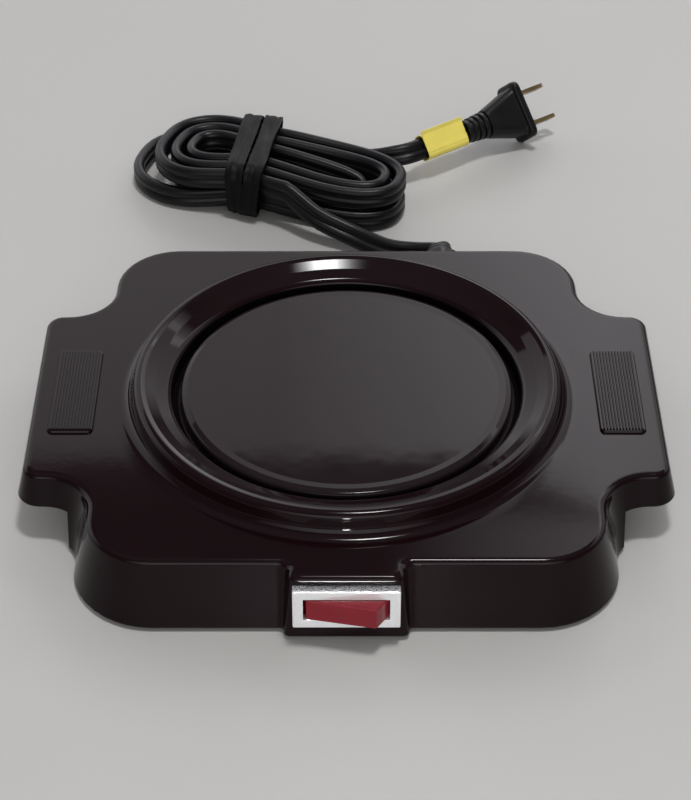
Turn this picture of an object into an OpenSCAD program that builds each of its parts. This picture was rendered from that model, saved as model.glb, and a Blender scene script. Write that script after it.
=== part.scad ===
// Coffee pot warmer: a low drafted moulding with two lifting ears and a stepped ring round an
// enamelled hot plate, a lit rocker switch in a front boss, and a flat twin lead tied in a hank.
// Millimetres. X runs across, Y runs from the switch to the cord, Z is up from the table.

/* [Housing] */
// Width of the deck beside the ring's foot
side_deck = 6.9; // [5.5:0.1:10]
// Width of the deck in front of the ring's foot and behind it
end_deck = 8.9; // [7:0.1:12]
// Radius of the block's outer corners
block_r = 20.3; // [14:0.1:22.5]
// How far an ear stands out from the block at the deck
ear_out = 21.8; // [18:0.2:25]
// Depth of an ear at the deck
ear_d = 83; // [66:0.5:88]
// Radius of an ear's outer corners
ear_r = 6.3; // [4.5:0.1:9]
// Radius of the scallop between an ear and the block's corner
scallop = 15.5; // [8:0.5:15.5]
// Height of the deck above the table
deck_z = 23.6; // [23:0.1:30]
// Height of the wall's lower rim above the table
rim_z = 1.2; // [0.6:0.1:2]
// Height of an ear, from its lower edge to the deck
ear_h = 10.6; // [8:0.1:14]
// Draft of the outer wall, in degrees
draft = 13.8; // [8:0.1:15]
// Rounding of the deck's outer edge
edge_r = 2; // [0.8:0.1:3]
// Thickness of the moulded wall
wall = 3; // [2:0.1:3.6]
// How far the web under an ear stands out from the block at the deck
web_out = 8; // [6:0.5:10]

/* [Plate ring] */
// How far the ring's outer wall leans in from its foot to its shoulder
ring_lean = 3.2; // [1.6:0.1:4]
// Height of the ring's crest above the deck
crest_rise = 7.4; // [6:0.1:10]
// Width of the crest, from the shoulder to the step inside it
crest_w = 4.2; // [3.4:0.1:5]
// Width of the step, from the crest to the inner lip
step_w = 2.6; // [2:0.1:3.4]
// Depth of the inner lip below the crest
lip_drop = 1.1; // [0.6:0.1:1.6]
// Width of the dished slope inside the lip
slope_w = 3; // [2.6:0.1:4]
// Width of the dish's flat bottom
dish_w = 2.4; // [2:0.1:3.2]
// Height of the dish's bottom above the deck
dish_rise = 2.6; // [1.6:0.1:3.4]
// Width of the groove round the plate
plate_gap = 2.7; // [1.5:0.1:3.5]
// How far the ledge reaches in under the plate
ledge_in = 4.5; // [4:0.1:6]
// Depth of the ledge's top below the deck
ledge_drop = 2.2; // [1.4:0.1:3]
// Thickness of the ledge
ledge_t = 2; // [1.4:0.1:2.6]

/* [Thumb pads] */
// Width of a pad across its ribs
pad_w = 14; // [10:0.5:15]
// Length of a pad along its ribs
pad_l = 42; // [30:0.5:46]
// Distance of a pad's centre from the block's side
pad_out = 9; // [8:0.5:11]
// Height of a pad above the deck
pad_h = 0.9; // [0.5:0.1:1.5]
// Number of ribs on a pad
pad_ribs = 13; // [5:1:17]

/* [Hot plate] */
// Outer radius of the hot plate
plate_r = 53.5; // [48:0.5:60]
// Height of the plate's top above the deck
plate_rise = 2.9; // [2:0.1:4]
// Thickness of the plate
plate_t = 2; // [1.2:0.1:2.4]
// Width of the rolled rim
plate_roll = 2.2; // [1.5:0.1:3]
// Thickness of the gasket under the rim
gasket_t = 0.6; // [0.4:0.1:1]
// Radius of the welded stud
stud_r = 2.5; // [2:0.1:3]

/* [Heating] */
// Radius of the heating element's ring
element_r = 34; // [28:0.5:38]
// Radius of the element's sheath
sheath_r = 3; // [2.4:0.1:3.2]
// Angle between the element's two cold ends, in degrees
element_gap = 36; // [32:1:50]
// Thickness of the clamp that holds the element
clamp_t = 1.2; // [0.8:0.1:1.4]
// Height of a stud nut
nut_h = 2.6; // [2:0.1:2.8]
// Radius of a stud nut over its corners
nut_r = 4.8; // [4.2:0.1:6]
// Thickness of the heat shield's sheet
shield_t = 0.8; // [0.6:0.1:1]

/* [Switch] */
// Width of the switch boss on each side of the bezel
boss_side = 1.2; // [1:0.1:3]
// How far the boss's face stands out from the block at the deck
boss_out = 7.5; // [6.5:0.1:9]
// Draft of the switch boss, in degrees
boss_draft = 4; // [2:0.1:5]
// Radius of the boss's upright edges
boss_r = 3; // [1.5:0.1:4]
// Depth of the switch's centre below the deck
switch_drop = 9.9; // [9.4:0.1:10.4]
// Width of the bezel
bezel_w = 32; // [31.4:0.1:34]
// Height of the bezel
bezel_h = 14.4; // [13.2:0.1:15]
// Depth of the bezel in front of the boss
bezel_t = 3; // [2.4:0.1:3.4]
// Thickness of the bezel's front lip
bezel_lip = 1.2; // [0.8:0.1:1.4]
// Width of the bezel's frame round its opening
bezel_frame = 3.2; // [2.8:0.1:3.4]
// Length of the rocker's front face
rocker_l = 21; // [18:0.1:21.6]
// Clearance above and below the rocker in the opening
rocker_gap = 0.2; // [0.15:0.05:0.5]
// Depth of the rocker's axis behind the boss's face
rocker_axis = 3; // [2.6:0.1:3.4]
// Distance of the rocker's front face from its axis
rocker_front = 8.2; // [7.6:0.1:8.6]
// Tilt of the rocker each side of its middle, in degrees
rocker_tilt = 11; // [6:0.5:12]
// Radius of the rocker's trunnions
trunnion_r = 1.55; // [1:0.05:1.8]
// Depth of the switch body behind the boss's face
switch_d = 18; // [17.6:0.1:22]
// Tilt of the see-saw contact each side of its middle, in degrees
contact_tilt = 8; // [4:0.5:9]

/* [Base] */
// Depth of the base plate's lower face above the table
base_z = 4; // [3:0.1:4.6]
// Thickness of the base plate
base_t = 1; // [0.6:0.1:1.4]
// Gap between the base plate and the wall
base_gap = 0.5; // [0.3:0.1:1]
// Radius of a rubber foot
foot_r = 7; // [5:0.5:9]
// Distance of a foot's centre from the block's sides
foot_in = 18.5; // [14.5:0.5:26]
// Distance of a base screw from the block's side
screw_in = 6.5; // [4:0.5:10]
// Distance of a base screw from the plate's axis, front to back
screw_y = 30; // [10:1:34]
// Radius of a base screw's shank
screw_r = 1.7; // [1.3:0.1:2]

/* [Cord] */
// Width of the flat cord
cord_w = 8.2; // [7:0.1:8.4]
// Thickness of the flat cord
cord_t = 4.2; // [3.4:0.1:4.3]
// Distance of the cord's exit from the middle plane
relief_x = 33.6; // [20:0.5:45]
// Depth of the cord's exit below the deck
relief_drop = 11.1; // [10.8:0.1:11.3]
// Radius of the strain relief's neck
relief_r = 6; // [5.4:0.1:6.4]
// How far the strain relief's end stands out from the block at the deck
relief_out = 14.5; // [12.5:0.5:17]
// Distance between the plug's two blades
blade_gap = 12.7; // [12.5:0.1:13]

/* [Hidden] */
$fn = 96;

// Clearance of a pin that turns in its hole, of a piece that is only laid in, and of a soft piece
run_gap = 0.05;
fit_gap = 0.1;
soft_gap = 0.4;
// Points along a rounded corner, and how far a cut reaches past a face
arc_steps = 6;
past = 1;

// Plate seat and ring, from the plate outwards
bore_r = plate_r + plate_gap;
dish_r = bore_r + dish_w;
lip_r = dish_r + slope_w;
crest_in_r = lip_r + step_w;
ring_shoulder_r = crest_in_r + crest_w;
ring_foot_r = ring_shoulder_r + ring_lean;
ledge_r = plate_r - ledge_in;
crest_z = deck_z + crest_rise;
seat_z = deck_z - ledge_drop;
seat_low = seat_z - ledge_t;
dish_z = deck_z + dish_rise;
foot_fillet = 2.4;
shoulder_fillet = 2.2;
plate_z = deck_z + plate_rise;
plate_low = plate_z - plate_t;
rim_low = seat_z + gasket_t;

// Housing outline round the ring
block_w = 2 * (ring_foot_r + side_deck);
block_d = 2 * (ring_foot_r + end_deck);
ear_w = block_w + 2 * ear_out;
web_w = block_w + 2 * web_out;
corner_x = block_w / 2 - block_r;
corner_y = block_d / 2 - block_r;
ear_corner_x = ear_w / 2 - ear_r;
ear_corner_y = ear_d / 2 - ear_r;
scallop_r = min(scallop, ear_corner_x - block_w / 2, corner_y - ear_d / 2);
scallop_x = block_w / 2 + scallop_r;
scallop_y = ear_d / 2 + scallop_r;
ear_flat = ear_corner_x - scallop_x;
side_flat = corner_y - scallop_y;
web_end = scallop_y - scallop_r / 4;
ear_z = deck_z - ear_h;
pad_x = block_w / 2 + pad_out;
wall_h = micron(wall / cos(draft));
roof_z = deck_z - wall;

// Heating stack under the plate, from the top down
sheath_z = plate_low - fit_gap - sheath_r;
clamp_z = sheath_z - sheath_r - fit_gap - clamp_t;
shield_z = clamp_z - nut_h - shield_t;
lock_z = shield_z - nut_h;
stud_end = lock_z - 0.6;
ferrule_r = sheath_r + 1;
leg_angles = [270 - element_gap / 2, 270 + element_gap / 2];
leg_low = shield_z - 2.4;
pin_r = 1.2;
pin_low = base_z + base_t + 1.6;
bead_r = ferrule_r + 1.4;
shield_flat_r = element_r + sheath_r + 5.5;
shield_top_r = ledge_r + 3.5;

// Switch
boss_w = bezel_w + 2 * boss_side;
boss_y = block_d / 2 + boss_out;
switch_z = deck_z - switch_drop;
opening_w = bezel_w - 2 * bezel_frame;
opening_h = bezel_h - 2 * bezel_frame;
rocker_h = opening_h - 2 * rocker_gap;
boss_back = corner_y;
rocker_y = -boss_y + rocker_axis;
body_w = bezel_w - 2;
body_h = bezel_h - 2.6;
body_wall = 1.3;
body_in_w = body_w - 2 * 1;
trunnion_l = body_h - 0.5;
rocker_end = (opening_w + 0.8) / 2;
rocker_hub = [[4, 2.4], [2.6, 5.4]];
plunger_r = 1.2;
plunger_l = 8;
contact_y = rocker_y + plunger_l + plunger_r + 0.6 + 0.4;
contact_l = 7;
contact_t = 0.8;
contact_h = 4;
contact_pin_r = 0.7;
body_back = -boss_y + switch_d;
tab_w = 6.3;
tab_t = 0.8;
tab_end = body_back + 8;
tab_x = 6.6;
lug_t = 0.8;
lug_z = contact_h / 2 + 0.4;
sleeve_l = 7;

// Base
base_top = base_z + base_t;
boss_radius = screw_r + 2.6;
foot_x = block_w / 2 - foot_in;
foot_y = block_d / 2 - foot_in;
screw_x = block_w / 2 - screw_in;

// Cord: its exit, the lead's and the tail's own points, chosen by hand behind the block's rear edge,
// and the hank's measures
relief_y = block_d / 2 + relief_out;
relief_z = deck_z - relief_drop;
rear = [0, block_d / 2, 0];
lead_points = [[33.2, 19.6, 10.2], [31, 22.4, 6.8], [24.2, 24.8, 5], [14, 27.6, 4.8], [2, 35, 6], [-11, 41, 9.8]];
tail_points = [[1, 84.1, 7.4], [11, 81.3, 9.4], [18.5, 80.6, 11.2]];
lead_lean = [0.5, 0.5, 0.7];
hank_at = [-31.5, rear.y + 73.5];
hank_turn = -19;
hank_left = 41;
hank_right = 58;
hank_half = 25.5;
hank_swell = [2.5, 2];
hank_waist = 8;
waist_l = [16, 38];
hank_pitch = 5.7;
turns_in = 2.5;
turns_climb = 0.5;
climb_dip = 0.8;
turns_all = 2 * turns_in + turns_climb;
loop_rings = 24;
layer_h = cord_w + 0.9;
end_lean = 8;
stray = 10;
stray_span = 0.25;
tie_w = 11;
tie_t = 1.4;
tie_step = 9;
tie_lift = tie_t + 0.9;
table_gap = 0.1;
plug_face = [68.4, rear.y + 112.35, 12];
plug_turn = 35;
plug_roll = 47;
plug_l = 28;
plug_flange = [3, 23, 14];
blade = [13, 1.5, 6.35];
tag_l = 20;

// Shapes and profiles shared by several pieces

function unit(v) = v / norm(v);

// The arc that rounds corner b, between a and c, to radius r
function bend(a, b, c, r) = r == 0 ? [b] :
    let (u = unit(a - b), v = unit(c - b), half = acos(u * v) / 2,
         m = b + unit(u + v) * r / sin(half), p = b + u * r / tan(half) - m,
         q = b + v * r / tan(half) - m, start = atan2(p.y, p.x),
         turn = atan2(p.x * q.y - p.y * q.x, p * q))
    [for (k = [0 : arc_steps]) let (g = start + turn * k / arc_steps) m + r * [cos(g), sin(g)]];

// An outline whose points are [x, y] or, for a rounded corner, [x, y, radius]. Its points are kept to
// whole microns, so that a wall and the corner or scallop beside it share their edge exactly.
function micron(x) = round(1000 * x) / 1000;
function rounded(pts) = [for (i = [0 : len(pts) - 1])
    let (n = len(pts), a = pts[(i + n - 1) % n], b = pts[i], c = pts[(i + 1) % n])
    for (q = bend([a.x, a.y], [b.x, b.y], [c.x, c.y], len(b) > 2 ? b[2] : 0)) [micron(q.x), micron(q.y)]];

function plate_outline(w, h, r) = rounded([for (p = [[-1, -1], [1, -1], [1, 1], [-1, 1]])
    [p.x * w / 2, p.y * h / 2, r]]);

module box(low, high) translate(low) cube(high - low);

// Turns children so that their Z runs along +Y
module along_y() rotate([-90, 0, 0]) children();

// Housing walls: one drafted section is drawn along straight runs and turned round the corners

function stand_out(z, angle) = (deck_z - z) * tan(angle);

function wall_section(back, inset, top, low, r, angle) = rounded([[-back, low],
    [stand_out(low, angle) - inset, low], [stand_out(top, angle) - inset, top, r], [-back, top]]);

module wall_run(length, back, inset, top, low, r, angle = draft)
    rotate([90, 0, 0]) linear_extrude(height = length, center = true)
        polygon(wall_section(back, inset, top, low, r, angle));

module wall_corner(radius, inset, top, low, r, angle = draft)
    rotate_extrude(angle = 90) translate([radius, 0])
        polygon(wall_section(radius, inset, top, low, r, angle));

// What a concave scallop takes away, flared at the top to leave the deck's rounded edge
module scallop(inset, top, low, r) {
    reach = scallop_r + inset;
    rotate_extrude(angle = 90) polygon(rounded([[0, low], [reach - stand_out(low, draft), low],
        [reach - stand_out(top, draft), top, r], [reach + wall + edge_r, top],
        [reach + wall + edge_r, top + past], [0, top + past]]));
}

// The whole housing as a solid, or its hollow when inset is the wall's thickness
module housing_block(inset, top, low, r) {
    box([-corner_x, -corner_y, low], [corner_x, corner_y, top]);
    for (side = [0, 180]) rotate(side) {
        rotate(-90) translate([block_d / 2, 0, 0]) wall_run(2 * corner_x, block_r, inset, top, low, r);
        difference() {
            box([corner_x, -scallop_y, low], [scallop_x, scallop_y, top]);
            for (s = [0, 1]) mirror([0, s, 0]) translate([scallop_x, scallop_y, 0]) rotate(180)
                scallop(inset, top, low, r);
        }
        translate([ear_w / 2, 0, 0]) wall_run(2 * ear_corner_y, ear_r, inset, top, low, r);
        for (s = [0, 1]) mirror([0, s, 0]) {
            translate([corner_x, corner_y, 0]) wall_corner(block_r, inset, top, low, r);
            if (side_flat > fit_gap) translate([block_w / 2, scallop_y + side_flat / 2, 0])
                wall_run(side_flat, block_r, inset, top, low, r);
            if (ear_flat > fit_gap) translate([scallop_x + ear_flat / 2, ear_d / 2, 0]) rotate(90)
                wall_run(ear_flat, ear_d / 2, inset, top, low, r);
            translate([ear_corner_x, ear_corner_y, 0]) wall_corner(ear_r, inset, top, low, r);
        }
    }
}

// What is taken away below an ear's lower edge
module ear_undercut() for (s = [0, 180]) rotate(s)
    box([web_w / 2, -block_d / 2, rim_z - past], [ear_w, block_d / 2, ear_z]);

// The hollow under the deck, with a web left standing on each side
module housing_hollow() difference() {
    housing_block(wall_h, roof_z, rim_z - past, 0);
    for (s = [0, 180]) rotate(s)
        box([web_w / 2 - wall, -web_end, rim_z - 2 * past], [web_w / 2, web_end, deck_z]);
}

module switch_boss() {
    side_x = boss_w / 2 - boss_r;
    side_l = boss_y - boss_r - boss_back;
    rotate(-90) translate([boss_y, 0, 0])
        wall_run(2 * side_x, boss_y - boss_back, 0, deck_z, rim_z, edge_r, boss_draft);
    for (s = [0, 1]) mirror([s, 0, 0]) {
        translate([boss_w / 2, -boss_back - side_l / 2, 0])
            wall_run(side_l, boss_r, 0, deck_z, rim_z, edge_r, boss_draft);
        translate([side_x, -boss_y + boss_r, 0]) rotate(-90)
            wall_corner(boss_r, 0, deck_z, rim_z, edge_r, boss_draft);
    }
}

// The stepped ring and the ledge under the plate, as one turned section
module plate_ring() rotate_extrude() polygon(rounded([
    [ledge_r, seat_low], [ring_foot_r + 2 * foot_fillet, seat_low],
    [ring_foot_r + 2 * foot_fillet, deck_z], [ring_foot_r, deck_z, foot_fillet],
    [ring_shoulder_r, crest_z, shoulder_fillet], [crest_in_r, crest_z, 0.5],
    [crest_in_r - 0.4, crest_z - lip_drop + 0.1, 0.4], [lip_r, crest_z - lip_drop, 1.2],
    [dish_r, dish_z, 3], [bore_r, dish_z - 0.3, 0.8], [bore_r, seat_z], [ledge_r, seat_z]]));

module thumb_pad() {
    rib_pitch = pad_w / (pad_ribs + 1);
    translate([pad_x, 0, deck_z - past]) {
        linear_extrude(height = past + pad_h / 2) polygon(plate_outline(pad_w, pad_l, 1.5));
        for (k = [1 : pad_ribs]) translate([k * rib_pitch - pad_w / 2, 0, 0])
            linear_extrude(height = past + pad_h) square([rib_pitch * 0.55, pad_l - 2.4], center = true);
    }
}

module screw_places() for (sx = [-1, 1], sy = [-1, 1]) translate([sx * screw_x, sy * screw_y, 0]) children();

flange_y = block_d / 2 + stand_out(relief_z, draft) + 2.6;
inner_y = block_d / 2 - wall_h + stand_out(relief_z + relief_r + 1, draft);
relief_in = inner_y - 6;

module cord_exit() translate([relief_x, 0, relief_z]) along_y() children();

module body_shell() color("#1d1416") difference() {
    union() {
        difference() {
            union() {
                housing_block(0, deck_z, rim_z, edge_r);
                switch_boss();
                cord_exit() translate([0, 0, corner_y]) cylinder(r = relief_r + 2.5, h = flange_y - corner_y);
            }
            housing_hollow();
            ear_undercut();
        }
        plate_ring();
        screw_places() translate([0, 0, base_top])
            cylinder(r = boss_radius, h = roof_z + wall / 2 - base_top);
        for (s = [0, 180]) rotate(s) thumb_pad();
    }
    translate([0, 0, seat_low - past]) cylinder(r = ledge_r, h = crest_z);
    translate([0, 0, seat_z]) cylinder(r = bore_r, h = crest_z);
    box([-body_w / 2 - fit_gap, -boss_y - wall, switch_z - body_h / 2 - fit_gap],
        [body_w / 2 + fit_gap, -corner_y, switch_z + body_h / 2 + fit_gap]);
    box([-bezel_w / 2 - fit_gap, -boss_y - wall, switch_z - bezel_h / 2 - fit_gap],
        [bezel_w / 2 + fit_gap, -boss_y, switch_z + bezel_h / 2 + fit_gap]);
    screw_places() translate([0, 0, base_top - past]) cylinder(r = screw_r + run_gap, h = past + 8);
    cord_exit() cylinder(r = relief_r + run_gap, h = block_d);
}

// Hot plate and heating

module hot_plate() color("#2a2120") {
    rotate_extrude() polygon(rounded([[0, plate_low], [plate_r - plate_t, plate_low, 0.8],
        [plate_r - plate_t, rim_low], [plate_r, rim_low], [plate_r, plate_z - 0.7, 1.4],
        [plate_r - plate_roll, plate_z, 1.2], [0, plate_z]]));
    translate([0, 0, stud_end]) cylinder(r = stud_r, h = plate_low - stud_end);
}

module plate_gasket() color("#d8d2c4") translate([0, 0, seat_z]) difference() {
    cylinder(r = plate_r + 0.8, h = gasket_t);
    translate([0, 0, -past]) cylinder(r = plate_r - plate_t - 1.5, h = gasket_t + 2 * past);
}

module leg_places() for (g = leg_angles) rotate(g) translate([element_r, 0, 0]) children();

module heating_element() color("#7d766c") {
    translate([0, 0, sheath_z]) rotate(leg_angles[1])
        rotate_extrude(angle = 360 - element_gap) translate([element_r, 0]) circle(r = sheath_r);
    leg_places() {
        translate([0, 0, leg_low]) cylinder(r = ferrule_r, h = plate_low - fit_gap - leg_low);
        translate([0, 0, pin_low]) cylinder(r = pin_r, h = leg_low - pin_low);
    }
}

// Ceramic beads where the cold ends pass the shield
module element_insulators() color("#e6dfd0") leg_places() translate([0, 0, shield_z - 1.6]) difference() {
    union() {
        cylinder(r = bead_r, h = shield_t + 3.2);
        cylinder(r = bead_r + 1.4, h = 1.6);
    }
    translate([0, 0, -past]) cylinder(r = ferrule_r + run_gap, h = shield_t + 3.2 + 2 * past);
}

// Three-armed pressed clamp that holds the element against the plate
module element_clamp() color("#9a9a96") translate([0, 0, clamp_z]) difference() {
    linear_extrude(height = clamp_t) union() for (k = [0 : 2]) rotate(90 + 120 * k) {
        translate([0, -6]) square([element_r + sheath_r, 12]);
        translate([element_r + sheath_r, 0]) circle(r = 6);
    }
    translate([0, 0, -past]) cylinder(r = stud_r + fit_gap, h = clamp_t + 2 * past);
}

// Dished sheet whose flange bears on the underside of the ledge
module heat_shield() color("#a9a9a4") difference() {
    rotate_extrude() polygon([[0, shield_z], [shield_flat_r, shield_z],
        [ledge_r - 1, seat_low - shield_t], [shield_top_r, seat_low - shield_t], [shield_top_r, seat_low],
        [ledge_r - 1 - shield_t, seat_low], [shield_flat_r - shield_t, shield_z + shield_t],
        [0, shield_z + shield_t]]);
    translate([0, 0, shield_z - past]) cylinder(r = stud_r + fit_gap, h = shield_t + 2 * past);
    leg_places() translate([0, 0, shield_z - past]) cylinder(r = bead_r + run_gap, h = shield_t + 2 * past);
}

module stud_nuts() color("#8f8f8b") for (z = [lock_z, shield_z + shield_t]) translate([0, 0, z]) difference() {
    cylinder(r = nut_r, h = nut_h, $fn = 6);
    translate([0, 0, -past]) cylinder(r = stud_r + run_gap, h = nut_h + 2 * past);
}

// Base

base_in = wall_h + base_gap - stand_out(base_top, draft);

module foot_places() for (sx = [-1, 1], sy = [-1, 1]) translate([sx * foot_x, sy * foot_y, 0]) children();

module base_plate() color("#6f6f6c") translate([0, 0, base_z]) difference() {
    linear_extrude(height = base_t) polygon(plate_outline(block_w - 2 * base_in, block_d - 2 * base_in, block_r - base_in));
    screw_places() translate([0, 0, -past]) cylinder(r = screw_r + fit_gap, h = base_t + 2 * past);
    foot_places() translate([0, 0, -past]) cylinder(r = foot_r / 2 + run_gap, h = base_t + 2 * past);
}

module base_screws() color("#b9b9b4") screw_places() {
    translate([0, 0, base_z]) cylinder(r = screw_r, h = base_t + 6);
    translate([0, 0, base_z - 1.4]) cylinder(r = 2 * screw_r, h = 1.4);
}

// Push-in rubber feet: a tread under the base plate, a neck through it and a barb above
module rubber_feet() color("#161616") foot_places() rotate_extrude() polygon(rounded([
    [0, 0], [foot_r - 0.8, 0, 0.6], [foot_r, base_z, 0.6], [foot_r / 2, base_z],
    [foot_r / 2, base_top], [foot_r / 2 + 1, base_top], [foot_r / 2 - 0.8, base_top + 3], [0, base_top + 3]]));

// Switch

module switch_bezel() color("#c9cacb") translate([0, -boss_y, switch_z]) rotate([90, 0, 0]) difference() {
    linear_extrude(height = bezel_t) polygon(plate_outline(bezel_w, bezel_h, 1));
    translate([0, 0, -past]) linear_extrude(height = bezel_t - bezel_lip + past)
        polygon(plate_outline(body_in_w, body_h - 2 * body_wall, 0.4));
    linear_extrude(height = bezel_t + past) polygon(plate_outline(opening_w, opening_h, 0.4));
}

module switch_body() color("#191919") difference() {
    box([-body_w / 2, -boss_y, switch_z - body_h / 2], [body_w / 2, body_back, switch_z + body_h / 2]);
    box([-body_in_w / 2, -boss_y - past, switch_z - body_h / 2 + body_wall],
        [body_in_w / 2, body_back - 1.5, switch_z + body_h / 2 - body_wall]);
    translate([0, rocker_y, switch_z - body_h]) cylinder(r = trunnion_r + run_gap, h = 2 * body_h);
    for (x = [-tab_x, 0, tab_x]) box(
        [x - tab_t / 2 - run_gap, body_back - 2 * past, switch_z - tab_w / 2 - run_gap],
        [x + tab_t / 2 + run_gap, body_back + past, switch_z + tab_w / 2 + run_gap]);
}

// Children are drawn with the rocker in its middle, about its own axis
module tipped() translate([0, rocker_y, switch_z]) rotate(-rocker_tilt) children();

module rocker() color("#a01428") tipped() difference() {
    union() {
        linear_extrude(height = rocker_h, center = true) polygon(rounded([
            [-rocker_l / 2, -rocker_front, 0.5], [rocker_l / 2, -rocker_front, 0.5],
            [rocker_end, -rocker_axis + 0.6, 0.5], [rocker_end, -1, 0.4], rocker_hub[0], rocker_hub[1],
            [-rocker_hub[1].x, rocker_hub[1].y], [-rocker_hub[0].x, rocker_hub[0].y],
            [-rocker_end, -1, 0.4], [-rocker_end, -rocker_axis + 0.6, 0.5]]));
        cylinder(r = trunnion_r, h = trunnion_l, center = true);
    }
    along_y() cylinder(r = plunger_r + run_gap, h = plunger_l);
}

// Spring-loaded pin in the rocker that tips the contact
module plunger() color("#c7a050") tipped() along_y() {
    translate([0, 0, 0.2]) cylinder(r = plunger_r, h = plunger_l - 0.2);
    translate([0, 0, plunger_l]) sphere(r = plunger_r);
}

module contact_arm() color("#c98a4b") translate([0, contact_y, switch_z]) rotate(contact_tilt) {
    linear_extrude(height = contact_h, center = true) square([2 * contact_l, contact_t], center = true);
    cylinder(r = contact_pin_r, h = 2 * (lug_z + lug_t), center = true);
}

// Three tabs through the back of the switch: the middle one carries the contact between two lugs
module switch_terminals() color("#d0a85a") {
    for (x = [-tab_x, tab_x]) box([x - tab_t / 2, contact_y + 1.6, switch_z - tab_w / 2],
        [x + tab_t / 2, tab_end, switch_z + tab_w / 2]);
    difference() {
        union() {
            box([-tab_t / 2, body_back - 1.5, switch_z - tab_w / 2], [tab_t / 2, tab_end, switch_z + tab_w / 2]);
            box([-2, body_back - 2.3, switch_z - lug_z - lug_t], [2, body_back - 1.5, switch_z + lug_z + lug_t]);
            for (z = [-lug_z - lug_t, lug_z])
                box([-2, contact_y - 1.6, switch_z + z], [2, body_back - 1.5, switch_z + z + lug_t]);
        }
        translate([0, contact_y, switch_z - body_h])
            cylinder(r = contact_pin_r + run_gap, h = 2 * body_h);
    }
}

lamp_r = 1.2;
lamp_l = 8;
lamp_at = [1.5 - body_in_w / 2, rocker_y + 7, switch_z + body_h / 2 - body_wall - lamp_r - fit_gap];

module pilot_lamp() color("#f0b080") translate(lamp_at) rotate([0, 90, 0]) {
    cylinder(r = lamp_r, h = lamp_l);
    translate([0, 0, lamp_l]) sphere(r = lamp_r);
}

// Wiring inside the housing

wire_r = 1.1;
wire_z = base_top + 2.5;
sleeve_y = tab_end + 1;
turn_y = sleeve_y + 10;
pin_places = [for (g = leg_angles) element_r * [cos(g), sin(g)]];

function smooth(s) = s * s * (3 - 2 * s);

// A smooth line through points, with steps parts to each stretch
function spline(pts, steps) = concat([for (i = [0 : len(pts) - 2], k = [0 : steps - 1])
    let (a = pts[max(i - 1, 0)], b = pts[i], c = pts[i + 1], d = pts[min(i + 2, len(pts) - 1)], s = k / steps)
    b + s * (c - a) / 2 + s * s * (2 * a - 5 * b + 4 * c - d) / 2
      + s * s * s * (3 * b - a - 3 * c + d) / 2], [pts[len(pts) - 1]]);

function heading(path, i) = unit(path[min(i + 1, len(path) - 1)] - path[max(i - 1, 0)]);

// A tube along path, whose section's first axis keeps towards leans[i]
module sweep(path, leans, section) {
    n = len(section);
    points = [for (i = [0 : len(path) - 1])
        let (f = heading(path, i), w = unit(leans[i] - (leans[i] * f) * f), h = cross(f, w))
        each [for (p = section) path[i] + p.x * w + p.y * h]];
    sides = [for (i = [0 : len(path) - 2], k = [0 : n - 1])
        let (a = i * n + k, b = i * n + (k + 1) % n) each [[a, a + n, b + n], [a, b + n, b]]];
    caps = [for (k = [1 : n - 2]) each
        [[0, k, k + 1], let (e = (len(path) - 1) * n) [e, e + k + 1, e + k]]];
    polyhedron(points = points, faces = concat(sides, caps));
}

function ring_section(r, n) = [for (k = [0 : n - 1]) r * [cos(360 * k / n), sin(360 * k / n)]];

module wire(pts) {
    last = len(pts) - 1;
    path = concat([pts[0]], spline([for (i = [1 : last - 1]) pts[i]], 3), [pts[last]]);
    sweep(path, [for (p = path) [0.01, 0.02, 1]], ring_section(wire_r, 8));
}

// Points chosen so that each wire runs low, round the heating stack
module wire_line() color("#222222") wire([
    [relief_x + 2.2, relief_in + 0.8, relief_z], [relief_x + 2.2, relief_in - 3, relief_z],
    [relief_x + 6, relief_in - 12, wire_z + 1], [58, 36, wire_z], [64, 4, wire_z], [57, -30, wire_z],
    [34, turn_y + 1, wire_z], [tab_x + 6, turn_y, wire_z + 2], [tab_x, sleeve_y + 3, switch_z],
    [tab_x, sleeve_y, switch_z]]);

module wire_switched() color("#8c2f2a") wire([
    [0, sleeve_y, switch_z], [0, sleeve_y + 3, switch_z], [-3, turn_y + 1, wire_z + 2],
    [-9, (turn_y + pin_places[0].y - 5) / 2, wire_z],
    [pin_places[0].x, pin_places[0].y - 6, wire_z], [pin_places[0].x, pin_places[0].y - 3.4, wire_z]]);

module wire_neutral() color("#e4e0d6") wire([
    [relief_x - 2.2, relief_in + 0.8, relief_z], [relief_x - 2.2, relief_in - 3, relief_z],
    [relief_x + 1, relief_in - 14, wire_z + 1], [50, 30, wire_z], [53, 0, wire_z], [44, -30, wire_z],
    [24, (turn_y + pin_places[1].y - 7) / 2, wire_z],
    [pin_places[1].x, pin_places[1].y - 7, wire_z], [pin_places[1].x, pin_places[1].y - 3.4, wire_z]]);

// Push-on sleeves on the two live tabs
module tab_connectors() color("#c9a24c") for (x = [0, tab_x]) difference() {
    box([x - 1.8, sleeve_y - sleeve_l, switch_z - tab_w / 2 - 0.8], [x + 1.8, sleeve_y, switch_z + tab_w / 2 + 0.8]);
    box([x - tab_t / 2 - run_gap, sleeve_y - sleeve_l - past, switch_z - tab_w / 2 - run_gap],
        [x + tab_t / 2 + run_gap, tab_end + fit_gap, switch_z + tab_w / 2 + run_gap]);
}

// Crimped eyes on the element's two pins
module crimp_terminals() color("#c2c2bd") for (p = pin_places) translate([p.x, p.y, wire_z]) difference() {
    union() {
        translate([0, 0, -0.8]) cylinder(r = 2.4, h = 1.6);
        translate([-1.4, -3.4, -0.8]) cube([2.8, 3.4, 1.6]);
    }
    translate([0, 0, -past]) cylinder(r = pin_r + run_gap, h = 2 * past);
}

// Cord

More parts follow.
